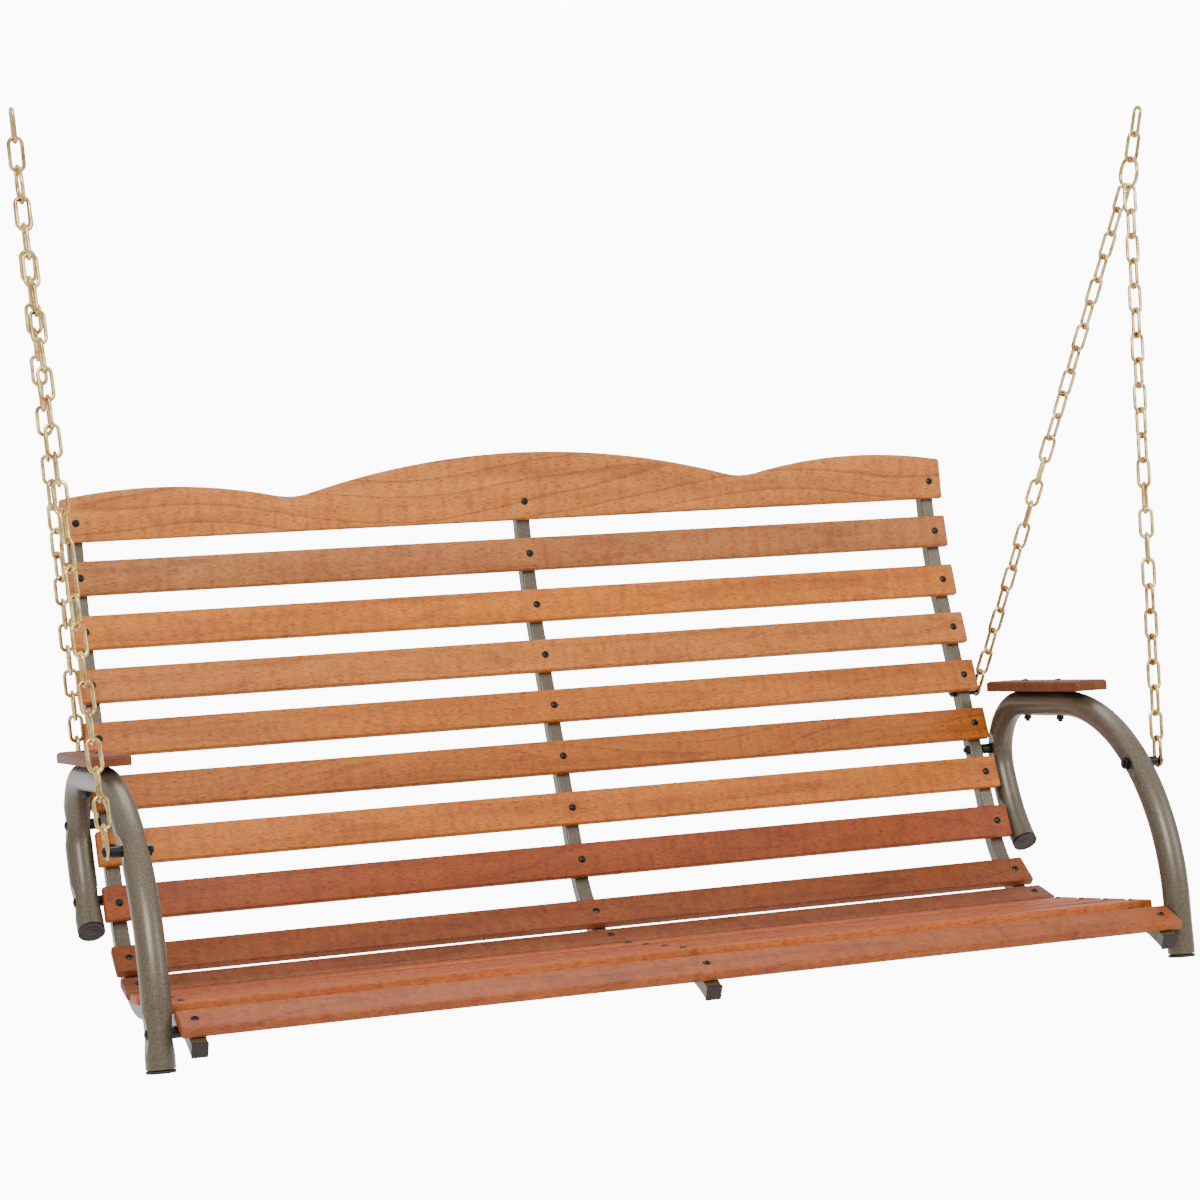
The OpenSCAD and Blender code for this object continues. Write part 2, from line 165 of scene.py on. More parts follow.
def bumped(
    tree: bpy.types.NodeTree,
    shader: bpy.types.Node,
    height: bpy.types.NodeSocket,
    depth_mm: float,
    strength: float = 1.0,
) -> None:
    """Raise a height pattern on a shader's surface.

    Args:
        tree: The node tree to add to.
        shader: The Principled shader.
        height: The pattern, from 0 to 1.
        depth_mm: The pattern's depth.
        strength: How strongly it shades.
    """
    bump = add_node(
        tree,
        "Bump",
        values={"Strength": strength, "Distance": depth_mm * MM},
        links={"Height": height},
    )
    tree.links.new(bump.outputs[0], shader.inputs["Normal"])


def noise(
    tree: bpy.types.NodeTree,
    place: bpy.types.NodeSocket,
    scale: float | tuple[float, float, float],
    detail: float,
    roughness: float = 0.5,
) -> bpy.types.NodeSocket:
    """Make a noise pattern from 0 to 1.

    Args:
        tree: The node tree to add to.
        place: The place to draw it by.
        scale: How fine it is, or how fine along X, Y and Z.
        detail: How many finer layers it has.
        roughness: How strong the finer layers are.

    Returns:
        The pattern's value output.
    """
    if isinstance(scale, tuple):
        stretched = add_node(
            tree, "Mapping", {"vector_type": "POINT"}, {"Scale": scale}, {"Vector": place}
        )
        place, scale = stretched.outputs[0], 1.0
    values = {"Scale": scale, "Detail": detail, "Roughness": roughness}
    return add_node(tree, "TexNoise", values=values, links={"Vector": place}).outputs["Fac"]


def maths(
    tree: bpy.types.NodeTree,
    operation: str,
    values: dict[int | str, object] | None = None,
    links: dict[int | str, bpy.types.NodeSocket] | None = None,
) -> bpy.types.NodeSocket:
    """Do one sum on values.

    Args:
        tree: The node tree to add to.
        operation: The sum, by its name in Blender.
        values: Input values by index.
        links: Output sockets to link from, by input index.

    Returns:
        The result's output.
    """
    return add_node(tree, "Math", {"operation": operation}, values, links).outputs[0]


def multiplied(
    tree: bpy.types.NodeTree,
    share: float,
    under: bpy.types.NodeSocket,
    over: bpy.types.NodeSocket,
) -> bpy.types.NodeSocket:
    """Multiply one colour by another.

    Args:
        tree: The node tree to add to.
        share: How much of the product is used, from 0 to 1.
        under: The first colour.
        over: The colour it is multiplied by.

    Returns:
        The mixed colour's output.
    """
    mix = add_node(
        tree,
        "Mix",
        {"data_type": "RGBA", "blend_type": "MULTIPLY"},
        {"Factor": share},
        {"A": under, "B": over},
    )
    return mix.outputs["Result"]


def dress(piece: bpy.types.Object, material: bpy.types.Material) -> None:
    """Give a piece one material in place of whatever it had."""
    piece.data.materials.clear()
    piece.data.materials.append(material)


def alone(piece: bpy.types.Object) -> None:
    """Select one piece only, and make it the active one.

    Args:
        piece: The piece.
    """
    bpy.ops.object.select_all(action="DESELECT")
    piece.select_set(True)
    bpy.context.view_layer.objects.active = piece


def settle(
    piece: bpy.types.Object, centre: Vector, turn: Euler | tuple[float, float, float]
) -> None:
    """Turn a piece, carry it to its place and settle both into its mesh.

    Args:
        piece: The piece, modelled at the origin.
        centre: Where its origin goes.
        turn: Its turn about X, Y and Z, in radians.
    """
    piece.rotation_euler = turn
    piece.location = centre
    alone(piece)
    bpy.ops.object.transform_apply(location=True, rotation=True, scale=True)


def facing(outward: Vector) -> Euler:
    """Give the turn that points a piece's Z this way."""
    return outward.to_track_quat("Z", "X").to_euler()


def ease(piece: bpy.types.Object, width_mm: float, steps: int) -> None:
    """Round a piece's sharp edges and shade it smooth.

    Args:
        piece: The piece.
        width_mm: The width of the rounding.
        steps: How many faces go round an edge.
    """
    alone(piece)
    bevel = piece.modifiers.new("ease", "BEVEL")
    bevel.width = width_mm * MM
    bevel.segments = steps
    bevel.limit_method = "ANGLE"
    bevel.angle_limit = SHARP
    bpy.ops.object.modifier_apply(modifier="ease")
    bpy.ops.object.shade_smooth_by_angle(angle=SMOOTH)


def choose_edges(piece: bpy.types.Object, wanted: Callable[[bmesh.types.BMEdge], bool]) -> None:
    """In edit mode, select only the edges that pass a test.

    Args:
        piece: The piece being edited.
        wanted: The test.
    """
    bpy.ops.mesh.select_all(action="DESELECT")
    mesh = bmesh.from_edit_mesh(piece.data)
    for edge in mesh.edges:
        edge.select = wanted(edge)
    bmesh.update_edit_mesh(piece.data)


def height_at(line: list[tuple[float, float]], x: float) -> float:
    """Read a line's height at one X.

    Args:
        line: The X and the height of each of its points, from left to right.
        x: Where to read it.

    Returns:
        The height, straight between the two nearest points.
    """
    after = next((i for i, point in enumerate(line) if point[0] >= x - NEAR), len(line) - 1)
    (x_a, z_a), (x_b, z_b) = line[max(after - 1, 0)], line[after]
    share = 0.0 if x_b == x_a else min(1.0, max(0.0, (x - x_a) / (x_b - x_a)))
    return z_a * (1 - share) + z_b * share


# ---- each board's grain -------------------------------------------------------


class Way(Enum):
    """Which way a board's heart wanders, left to right."""

    RISING = 1.0
    FALLING = -1.0


@dataclass(frozen=True)
class Grain:
    """One board's colour and figure.

    Attributes:
        colour: Its middle tone.
        heart_mm: Depth of the heart under its face; a small depth gives flames.
        drift: How far the heart wanders across it, in metres.
        way: Which way the heart wanders.
        slope: How fast the heart sinks along it.
        ring_mm: The space between its growth rings.
        lines: How strongly its rings are drawn.
    """

    colour: str
    heart_mm: float = 60.0
    drift: float = 0.03
    way: Way = Way.RISING
    slope: float = 0.022
    ring_mm: float = 7.0
    lines: float = 0.3


GRAINS = {
    "crest_board": Grain("#AF6D2D", 9.0, 0.05, Way.RISING, 0.045, 22.0, 0.5),
    "back_slat_2": Grain("#985F2C", 70.0, 0.03, Way.FALLING),
    "back_slat_3": Grain("#B06611", 90.0, 0.02),
    "back_slat_4": Grain("#A76523", 60.0, 0.03),
    "back_slat_5": Grain("#A25D17", 55.0, 0.04, Way.FALLING),
    "back_slat_6": Grain("#975512", 22.0, 0.05, Way.RISING, 0.035, 8.0, 0.45),
    "back_slat_7": Grain("#AB6219", 80.0, 0.03),
    "back_slat_8": Grain("#813D0B", 60.0, 0.03, Way.FALLING),
    "back_slat_9": Grain("#713912", 50.0, 0.03),
    "seat_slat_1": Grain("#6F3E24", 70.0, 0.02),
    "seat_slat_2": Grain("#9B5328", 60.0, 0.03),
    "seat_slat_3": Grain("#934A22", 80.0, 0.03, Way.FALLING),
    "seat_slat_4": Grain("#904722", 60.0, 0.03),
    "seat_slat_5": Grain("#9A5016", 70.0, 0.02),
    "seat_slat_6": Grain("#85451A", 90.0, 0.03, Way.FALLING),
    "armrest_left": Grain("#6C3719", 50.0, 0.02),
    "armrest_right": Grain("#653715", 50.0, 0.02),
}

# Ramps from a pattern's value to a colour that darkens the wood.
LATE_WOOD = [(0.0, "#FFFFFF"), (0.82, "#F4E6D6"), (0.93, "#9A6238"), (1.0, "#FFFFFF")]
RIBBON = [(0.34, "#D9B390"), (0.5, "#F6EBDF"), (0.66, "#FFFFFF")]
PORES = [(0.36, "#8E5E3A"), (0.43, "#E6CDB6"), (0.5, "#FFFFFF")]
RIBBON_SHARE = 0.5
PORE_SHARE = 0.72
# How far the pattern moves along X, Y and Z from one board to the next.
FIGURE_STEP = (3.7, 0.31, 0.17)


# ---- finishes -----------------------------------------------------------------


@dataclass(frozen=True)
class OiledHardwood:
    """Oiled tropical hardwood: satin, reddish tan, with fine dark pores drawn out along the board.

    Attributes:
        name: The material's name.
        grain: The board's colour and figure.
        centre: A point on the board's middle, in metres.
        turn: The board's turn about X, in radians.
        figure: Which board this is, so that no two show the same figure.
    """

    name: str
    grain: Grain
    centre: tuple[float, float, float]
    turn: float
    figure: int

    def make(self) -> bpy.types.Material:
        """Build the material.

        Returns:
            The finished material.
        """
        material, tree, shader = new_material(self.name)
        moved = add_node(
            tree, "VectorMath", {"operation": "SUBTRACT"}, {1: self.centre}, {0: place_of(tree)}
        )
        board = add_node(
            tree,
            "VectorRotate",
            {"rotation_type": "X_AXIS"},
            {"Angle": -self.turn},
            {"Vector": moved.outputs[0]},
        ).outputs[0]
        own = add_node(
            tree,
            "VectorMath",
            {"operation": "ADD"},
            {1: tuple(step * self.figure for step in FIGURE_STEP)},
            {0: board},
        ).outputs[0]
        # Ribbon figure: soft pale and dark patches 10 mm long across the board.
        ribbon = noise(tree, own, (100, 35, 35), 2.0)
        # Broad light and dark along the board, 20 mm wide.
        broad = noise(tree, own, (4, 45, 45), 4.0, 0.55)
        # Pores 0.3 mm wide; drawn 0.8 mm wide and 9 mm long so that they show.
        pores = noise(tree, own, (110, 1300, 1300), 2.0, 0.55)
        late = ramp(tree, self.rings(tree, board, own), LATE_WOOD)
        colour = multiplied(tree, self.grain.lines, ramp(tree, broad, self.tones()), late)
        colour = multiplied(tree, RIBBON_SHARE, colour, ramp(tree, ribbon, RIBBON))
        colour = multiplied(tree, PORE_SHARE, colour, ramp(tree, pores, PORES))
        tree.links.new(colour, shader.inputs["Base Color"])
        gloss = add_node(tree, "MapRange", {}, {"To Min": 0.58, "To Max": 0.48}, {"Value": pores})
        tree.links.new(gloss.outputs[0], shader.inputs["Roughness"])
        shader.inputs["IOR"].default_value = 1.46
        shader.inputs["Specular IOR Level"].default_value = 0.3
        bumped(tree, shader, pores, 0.2, 0.3)
        return material

    def rings(
        self,
        tree: bpy.types.NodeTree,
        board: bpy.types.NodeSocket,
        own: bpy.types.NodeSocket,
    ) -> bpy.types.NodeSocket:
        """Draw the growth rings: distance from a heart line that wanders across the board.

        Args:
            tree: The node tree to add to.
            board: The place along the board's own axes.
            own: The same place, moved so that no two boards are alike.

        Returns:
            How far across its ring a place is, from 0 to 1.
        """
        grain = self.grain
        drift = grain.drift * grain.way.value
        ripple_depth = 0.006
        split = add_node(tree, "SeparateXYZ", links={0: board})
        wander = noise(tree, own, (1.6, 0, 0), 1.0, 0.4)
        shift = maths(tree, "MULTIPLY_ADD", {1: 4 * drift, 2: -2 * drift}, {0: wander})
        across = maths(tree, "ADD", links={0: split.outputs["Z"], 1: shift})
        sunk = {1: grain.slope, 2: grain.heart_mm * MM}
        depth = maths(tree, "MULTIPLY_ADD", sunk, {0: split.outputs["X"]})
        flat = add_node(tree, "CombineXYZ", links={0: across, 1: depth})
        radius = add_node(
            tree, "VectorMath", {"operation": "LENGTH"}, links={0: flat.outputs[0]}
        ).outputs["Value"]
        ripple = noise(tree, own, (7, 60, 60), 3.0)
        rippled = maths(tree, "MULTIPLY_ADD", {1: ripple_depth}, {0: ripple, 2: radius})
        # Each ring darkens slowly to a thin late line and starts again pale.
        phase = maths(tree, "MULTIPLY", {1: 1 / (grain.ring_mm * MM)}, {0: rippled})
        return maths(tree, "FRACT", links={0: phase})

    def tones(self) -> list[tuple[float, str]]:
        """Give the board's dark, middle and light tones.

        Returns:
            The three tones as ramp stops.
        """
        colour = self.grain.colour
        rgb = [int(colour[i : i + 2], 16) for i in (1, 3, 5)]
        darker, lighter = (0.90, 0.86, 0.82), (1.07, 1.09, 1.10)
        dark = "#" + "".join(f"{max(0, int(v * k)):02X}" for v, k in zip(rgb, darker))
        light = "#" + "".join(f"{min(255, int(v * k)):02X}" for v, k in zip(rgb, lighter))
        return [(0.3, dark), (0.5, colour), (0.72, light)]


@dataclass(frozen=True)
class BronzePowderCoat:
    """Bronze powder coat on steel tube: a fine orange peel with a metallic speckle.

    Attributes:
        name: The material's name.
        dark: The tone between the flakes.
        colour: The middle tone.
        speck: The tone of the flakes.
    """

    name: str = "bronze_powder_coat"
    dark: str = "#41392C"
    colour: str = "#4E4536"
    speck: str = "#655B4A"

    def make(self) -> bpy.types.Material:
        """Build the material.

        Returns:
            The finished material.
        """
        material, tree, shader = new_material(self.name)
        place = place_of(tree)
        # Flakes of 0.2 mm, drawn 1.5 mm across so that they show.
        flakes = noise(tree, place, 650.0, 2.0, 0.7)
        tone = ramp(tree, flakes, [(0.32, self.dark), (0.5, self.colour), (0.7, self.speck)])
        tree.links.new(tone, shader.inputs["Base Color"])
        shader.inputs["Metallic"].default_value = 0.35
        shader.inputs["Roughness"].default_value = 0.34
        bumped(tree, shader, noise(tree, place, 900.0, 1.0), 0.12, 0.3)
        return material


@dataclass(frozen=True)
class MouldedPlug:
    """Moulded dark brown polythene: dull, with a faint grain.

    Attributes:
        name: The material's name.
    """

    name: str = "moulded_plug"

    def make(self) -> bpy.types.Material:
        """Build the material.

        Returns:
            The finished material.
        """
        material, tree, shader = new_material(self.name)
        grain = noise(tree, place_of(tree), 1200.0, 2.0)
        tone = ramp(tree, grain, [(0.3, "#241B19"), (0.7, "#302624")])
        tree.links.new(tone, shader.inputs["Base Color"])
        shader.inputs["Specular IOR Level"].default_value = 0.2
        shader.inputs["Roughness"].default_value = 0.5
        bumped(tree, shader, grain, 0.08, 0.3)
        return material


@dataclass(frozen=True)
class BlackOxide:
    """Black oxide on steel screws, nuts and spacers: near black with a soft oily shine.

    Attributes:
        name: The material's name.
    """

    name: str = "black_oxide"

    def make(self) -> bpy.types.Material:
        """Build the material.

        Returns:
            The finished material.
        """
        material, tree, shader = new_material(self.name)
        mottle = noise(tree, place_of(tree), 500.0, 3.0)
        tone = ramp(tree, mottle, [(0.3, "#050505"), (0.7, "#0E0D0D")])
        tree.links.new(tone, shader.inputs["Base Color"])
        shader.inputs["Roughness"].default_value = 0.28
        shader.inputs["Specular IOR Level"].default_value = 0.25
        bumped(tree, shader, mottle, 0.05, 0.2)
        return material


@dataclass(frozen=True)
class YellowZinc:
    """Yellow zinc plate on bent wire: bright pale gold, a little uneven in hue.

    Attributes:
        name: The material's name.
        pale: The palest tone.
        gold: The middle tone.
        rust: The darkest tone.
    """

    name: str = "yellow_zinc"
    pale: str = "#DCC68A"
    gold: str = "#B8975A"
    rust: str = "#8C6434"

    def make(self) -> bpy.types.Material:
        """Build the material.

        Returns:
            The finished material.
        """
        material, tree, shader = new_material(self.name)
        place = place_of(tree)
        hue = noise(tree, place, 55.0, 4.0, 0.6)
        tone = ramp(tree, hue, [(0.3, self.rust), (0.46, self.gold), (0.66, self.pale)])
        tree.links.new(tone, shader.inputs["Base Color"])
        shader.inputs["Metallic"].default_value = 1.0
        rough = noise(tree, place, 300.0, 2.0)
        spread = add_node(tree, "MapRange", {}, {"To Min": 0.18, "To Max": 0.34}, {"Value": rough})
        tree.links.new(spread.outputs[0], shader.inputs["Roughness"])
        bumped(tree, shader, rough, 0.06, 0.25)
        return material


# ---- the boards ---------------------------------------------------------------


@dataclass
class Boards:
    """The slats, the crest board and the armrests: sawn hardwood with eased edges.

    Attributes:
        ease_mm: Radius of the eased edges.
        ease_steps: How many faces go round an eased edge.
        corner_mm: Radius of an armrest's corners, seen from above.
        crown_mm: Radius of the edge round an armrest's top.
        sole_mm: Radius of the other edges of an armrest.
        crest_cuts: How many times the crest board is divided along its length.
        crest_foot: Height above the crest board's lower edge where its shaped top may begin.
        end_slack: How far a point may be from a board's end and still be on it.
        level_slack: How near a quarter turn, in radians, the turn is taken the other way.
    """

    frame: dict
    ease_mm: float = 3.0
    ease_steps: int = 4
    corner_mm: float = 10.0
    crown_mm: float = 4.5
    sole_mm: float = 1.0
    crest_cuts: int = 135
    crest_foot: float = 40 * MM
    end_slack: float = 0.01 * MM
    level_slack: float = 0.02

    def points(self, node: str) -> list[Vector]:
        """Give the mesh points of a CAD node."""
        return [v.co for v in self.frame["nodes"][node].data.vertices]

    def across(self, points: list[Vector], turn: float) -> tuple[Vector, float, Vector]:
        """Measure a board along its own axes.

        Args:
            points: The board's mesh points.
            turn: The board's turn about X, in radians.

        Returns:
            The middle of its box, its turn again, and the size of its box.
        """
        back = Matrix.Rotation(-turn, 3, "X")
        own = [back @ p for p in points]
        low = Vector([min(p[i] for p in own) for i in range(3)])
        high = Vector([max(p[i] for p in own) for i in range(3)])
        return back.inverted() @ ((low + high) / 2), turn, high - low

    def lie(self, node: str) -> tuple[Vector, float, Vector]:
        """Find how a board lies, from the outline of its right-hand end.

        Args:
            node: The board's CAD node.

        Returns:
            The middle of its box across its own axes, its turn about X, and its size.
        """
        points = self.points(node)
        end = max(p.x for p in points)
        rim = [p for p in points if p.x > end - self.end_slack]
        y_mid = sum(p.y for p in rim) / len(rim)
        z_mid = sum(p.z for p in rim) / len(rim)
        yy = sum((p.y - y_mid) ** 2 for p in rim)
        zz = sum((p.z - z_mid) ** 2 for p in rim)
        yz = sum((p.y - y_mid) * (p.z - z_mid) for p in rim)
        rise = 0.5 * math.atan2(2 * yz, yy - zz)
        turn = rise - math.pi / 2 if rise > 0 else rise + math.pi / 2
        if abs(turn) > math.pi / 2 - self.level_slack:
            turn -= math.copysign(math.pi, turn)
        return self.across(points, turn)

    def lie_flat(self, node: str) -> tuple[Vector, float, Vector]:
        """Find how an armrest lies: its turn about X is the one that makes its box thinnest.

        Args:
            node: The armrest's CAD node.

        Returns:
            The middle of its box across its own axes, its turn about X, and its size.
        """
        points = self.points(node)

        def thickness(turn: float) -> float:
            """Give the armrest's thickness when it is turned back by this much."""
            heights = [p.z * math.cos(turn) - p.y * math.sin(turn) for p in points]
            return max(heights) - min(heights)

        tenths = range(-300, 301)
        turn = min((math.radians(tenth / 10) for tenth in tenths), key=thickness)
        return self.across(points, turn)

    def sawn(self, name: str, size: Vector) -> bpy.types.Object:
        """Start a board as a block, centred and unturned.

        Args:
            name: The board's name.
            size: The block's size.

        Returns:
            The block.
        """
        bpy.ops.object.select_all(action="DESELECT")
        bpy.ops.mesh.primitive_cube_add(size=1, location=(0, 0, 0))
        piece = bpy.context.active_object
        piece.name = name
        piece.data.name = name
        piece.scale = size
        bpy.ops.object.transform_apply(location=False, rotation=False, scale=True)
        return piece

    def finish(self, piece: bpy.types.Object, node: str, turn: float, number: int) -> None:
        """Dress a board and let it stand for its CAD node.

        Args:
            piece: The board, in its place.
            node: The CAD node.
            turn: The board's turn about X, in radians.
            number: Which board this is.
        """
        centre = sum((Vector(corner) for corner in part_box(node)), Vector()) / 2
        name = "oiled_hardwood_" + node
        dress(piece, OiledHardwood(name, GRAINS[node], tuple(centre), turn, number).make())
        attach(piece, "seat")
        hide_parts(node)
        LOG.info("board %s", node)

    def slat(self, node: str, number: int) -> None:
        """Make one straight slat.

        Args:
            node: Its CAD node.
            number: Which board it is.
        """
        centre, turn, size = self.lie(node)
        piece = self.sawn("board_" + node, size)
        ease(piece, self.ease_mm, self.ease_steps)
        settle(piece, centre, (turn, 0, 0))
        self.finish(piece, node, turn, number)

    def top_line(self, points: list[Vector], height: float) -> list[tuple[float, float]]:
        """Find the line that the crest board's top follows.

        Args:
            points: The board's CAD points along its own axes, from its middle.
            height: The board's whole height.

        Returns:
            The X and the height of each point of the line, from left to right.
        """
        tops: dict[float, float] = {}
        for p in points:
            if p.z > self.crest_foot - height / 2:
                x = round(p.x, 4)
                tops[x] = max(tops.get(x, -FAR), p.z)
        return sorted(tops.items())

    def crest(self, number: int) -> None:
        """Make the crest board, its top following the CAD outline.

        Args:
            number: Which board it is.
        """
        node = "crest_board"
        centre, turn, size = self.lie(node)
        back = Matrix.Rotation(-turn, 3, "X")
        line = self.top_line([back @ (p - centre) for p in self.points(node)], size.z)
        piece = self.sawn("board_crest", size)
        bpy.ops.object.mode_set(mode="EDIT")
        choose_edges(piece, lambda e: abs(e.verts[0].co.x - e.verts[1].co.x) > size.x / 2)
        bpy.ops.mesh.subdivide(number_cuts=self.crest_cuts)
        mesh = bmesh.from_edit_mesh(piece.data)
        for vert in mesh.verts:
            if vert.co.z > 0:
                vert.co.z = height_at(line, vert.co.x)
        bmesh.update_edit_mesh(piece.data)
        bpy.ops.object.mode_set(mode="OBJECT")
        ease(piece, self.ease_mm, self.ease_steps)
        settle(piece, centre, (turn, 0, 0))
        self.finish(piece, node, turn, number)

    def armrest(self, node: str, number: int) -> None:
        """Make an armrest: rounded corners, and a softer edge on top than below.

        Args:
            node: Its CAD node.
            number: Which board it is.
        """
        centre, turn, size = self.lie_flat(node)
        piece = self.sawn("board_" + node, size)
        bpy.ops.object.mode_set(mode="EDIT")
        choose_edges(piece, lambda e: abs(e.verts[0].co.z - e.verts[1].co.z) > size.z / 2)
        bpy.ops.mesh.bevel(offset=self.corner_mm * MM, segments=8)
        choose_edges(piece, lambda e: all(v.co.z > size.z / 2 - NEAR for v in e.verts))
        bpy.ops.mesh.bevel(offset=self.crown_mm * MM, segments=5)
        bpy.ops.object.mode_set(mode="OBJECT")
        ease(piece, self.sole_mm, self.ease_steps)
        settle(piece, centre, (turn, 0, 0))
        self.finish(piece, node, turn, number)

    def build(self) -> None:
        """Make every board."""
        self.crest(1)
        for number in range(2, 10):
            self.slat(f"back_slat_{number}", number)
        for number in range(1, 7):
            self.slat(f"seat_slat_{number}", 10 + number)
        self.armrest("armrest_left", 20)
        self.armrest("armrest_right", 21)

# ---- plugs, caps and screws -----------------------------------------------------


def pick(piece: bpy.types.Object, low: float, high: float) -> None:
    """In edit mode, select only the level faces between two heights.

    Args:
        piece: The piece being edited.
        low: The lowest height, in metres.
        high: The highest height, in metres.
    """
    bpy.ops.mesh.select_all(action="DESELECT")
    mesh = bmesh.from_edit_mesh(piece.data)
    for face in mesh.faces:
        face.select = abs(face.normal.z) > 0.9 and low < face.calc_center_median().z < high
    bmesh.update_edit_mesh(piece.data)


def joined(name: str, pieces: list[bpy.types.Object]) -> bpy.types.Object:
    """Join pieces into one object.

    Args:
        name: The object's name.
        pieces: The pieces, of which the first takes in the others.

    Returns:
        The object.
    """
    bpy.ops.object.select_all(action="DESELECT")
    for piece in pieces:
        piece.select_set(True)
    bpy.context.view_layer.objects.active = pieces[0]
    if len(pieces) > 1:
        bpy.ops.object.join()
    pieces[0].name = name
    pieces[0].data.name = name
    return pieces[0]


def twin(piece: bpy.types.Object) -> bpy.types.Object:
    """Copy a piece, mesh and all.

    Args:
        piece: The piece.

    Returns:
        The copy.
    """
    other = piece.copy()
    other.data = piece.data.copy()
    bpy.context.collection.objects.link(other)
    return other


# Each step of a cap's or plug's face: how far it goes in, and how far up, in millimetres.
CAP_RIM = [(0.3, 0.0)]
CAP_RINGS = [
    (3.2, 0.0), (0.4, -0.6), (0.8, 0.0), (0.4, 0.6),
    (3.4, 0.0), (0.4, -0.5), (0.7, 0.0), (0.4, 0.5),
]  # fmt: skip
PLUG_RINGS = [(3.0, 0.0), (0.4, -0.5), (0.7, 0.0), (0.4, 0.5)]


@dataclass
class EndPlugs:
    """The moulded caps and plugs that close the tubes, with shallow rings in their faces.

    Attributes:
        tube_d: Width of the round tube.
        rib_w: Width of the square tube.
        lip_round: Thickness of a round cap's lip.
        lip_square: Thickness of a square plug's lip.
        stem_square: Half the width of a square plug's stem.
        stem_l: Length of a square plug's stem.
        ease_mm: Radius of the eased edges.
        sides: How many sides a round cap is drawn with.
        slack: How far out a height may be and still be taken as the same.
        seeds: How many of a cap's largest faces are tried as part of its outer face.
    """

    frame: dict
    tube_d: float = 34 * MM
    rib_w: float = 19 * MM
    lip_round: float = 3 * MM
    lip_square: float = 2.5 * MM
    stem_square: float = 7.7 * MM
    stem_l: float = 9.5 * MM
    ease_mm: float = 0.15
    sides: int = 96
    slack: float = 0.1 * MM
    seeds: int = 60

    def face_of(
        self, node: str, x_low: float = -math.inf, x_high: float = math.inf
    ) -> tuple[Vector, Vector]:
        """Find the outer face of a cap or plug: the largest level area of its CAD mesh.

        Args:
            node: The CAD node.
            x_low: The lowest X to look at.
            x_high: The highest X to look at.

        Returns:
            The face's centre and its outward direction.
        """
        side_on, tiny, parallel, clearly = 0.01, 1e-8, 0.9995, 1.001
        mesh = self.frame["nodes"][node].data
        near = [
            face
            for face in mesh.polygons
            if x_low < face.center.x < x_high
            and abs(face.normal.x) < side_on
            and face.area > tiny
        ]
        middle = sum((face.center for face in near), Vector()) / len(near)
        faces: list[bpy.types.MeshPolygon] = []
        widest = 0.0
        for seed in sorted(near, key=lambda face: -face.area)[: self.seeds]:
            height = (seed.center - middle).dot(seed.normal)
            level = [
                face
                for face in near
                if face.normal.dot(seed.normal) > parallel
                and abs((face.center - middle).dot(seed.normal) - height) < self.slack
            ]
            area = sum(face.area for face in level)
            if area > widest * clearly:
                widest, faces = area, level
        outward = max(faces, key=lambda face: face.area).normal.copy()
        flat = [mesh.vertices[i].co for face in faces for i in face.vertices]
        low = Vector([min(p[i] for p in flat) for i in range(3)])
        high = Vector([max(p[i] for p in flat) for i in range(3)])
        return (low + high) / 2, outward

    def rings(self, steps_mm: list[tuple[float, float]]) -> None:
        """Step the selected face inward, ring by ring.

        Args:
            steps_mm: Each step's inset and rise, in millimetres.
        """
        for inset, rise in steps_mm:
            bpy.ops.mesh.inset(thickness=inset * MM, depth=rise * MM)

    def round_cap(self) -> bpy.types.Object:
        """Model a round cap's lip, the middle of its thickness at the origin and its face up.

        It has no stem, and on its tube it stands half its thickness past the CAD cap's face.

        Returns:
            The cap.
        """
        bpy.ops.object.select_all(action="DESELECT")
        bpy.ops.mesh.primitive_cylinder_add(
            vertices=self.sides,
            radius=self.tube_d / 2,
            depth=self.lip_round,
            location=(0, 0, -self.lip_round / 2),
        )
        cap = bpy.context.active_object
        bpy.ops.object.mode_set(mode="EDIT")
        pick(cap, -self.slack, FAR)
        self.rings(CAP_RIM)
        bpy.ops.mesh.select_all(action="DESELECT")
        mesh = bmesh.from_edit_mesh(cap.data)
        top = max(mesh.faces, key=lambda f: (round(f.calc_center_median().z, 5), len(f.verts)))
        top.select = True
        bmesh.update_edit_mesh(cap.data)
        self.rings(CAP_RINGS)
        bpy.ops.object.mode_set(mode="OBJECT")
        return cap

    def square_plug(self) -> bpy.types.Object:
        """Model a square plug, its face at the origin and looking up.

        Returns:
            The plug.
        """
        bpy.ops.object.select_all(action="DESELECT")
        bpy.ops.mesh.primitive_cube_add(size=1, location=(0, 0, -self.lip_square / 2))
        plug = bpy.context.active_object
        plug.scale = (self.rib_w, self.rib_w, self.lip_square)
        bpy.ops.object.transform_apply(location=True, rotation=False, scale=True)
        bpy.ops.object.mode_set(mode="EDIT")
        pick(plug, -FAR, self.slack - self.lip_square)
        bpy.ops.mesh.inset(thickness=self.rib_w / 2 - self.stem_square, depth=0)
        bpy.ops.mesh.extrude_region_move(TRANSFORM_OT_translate={"value": (0, 0, -self.stem_l)})
        pick(plug, -self.slack, FAR)
        self.rings(PLUG_RINGS)
        bpy.ops.object.mode_set(mode="OBJECT")
        return plug

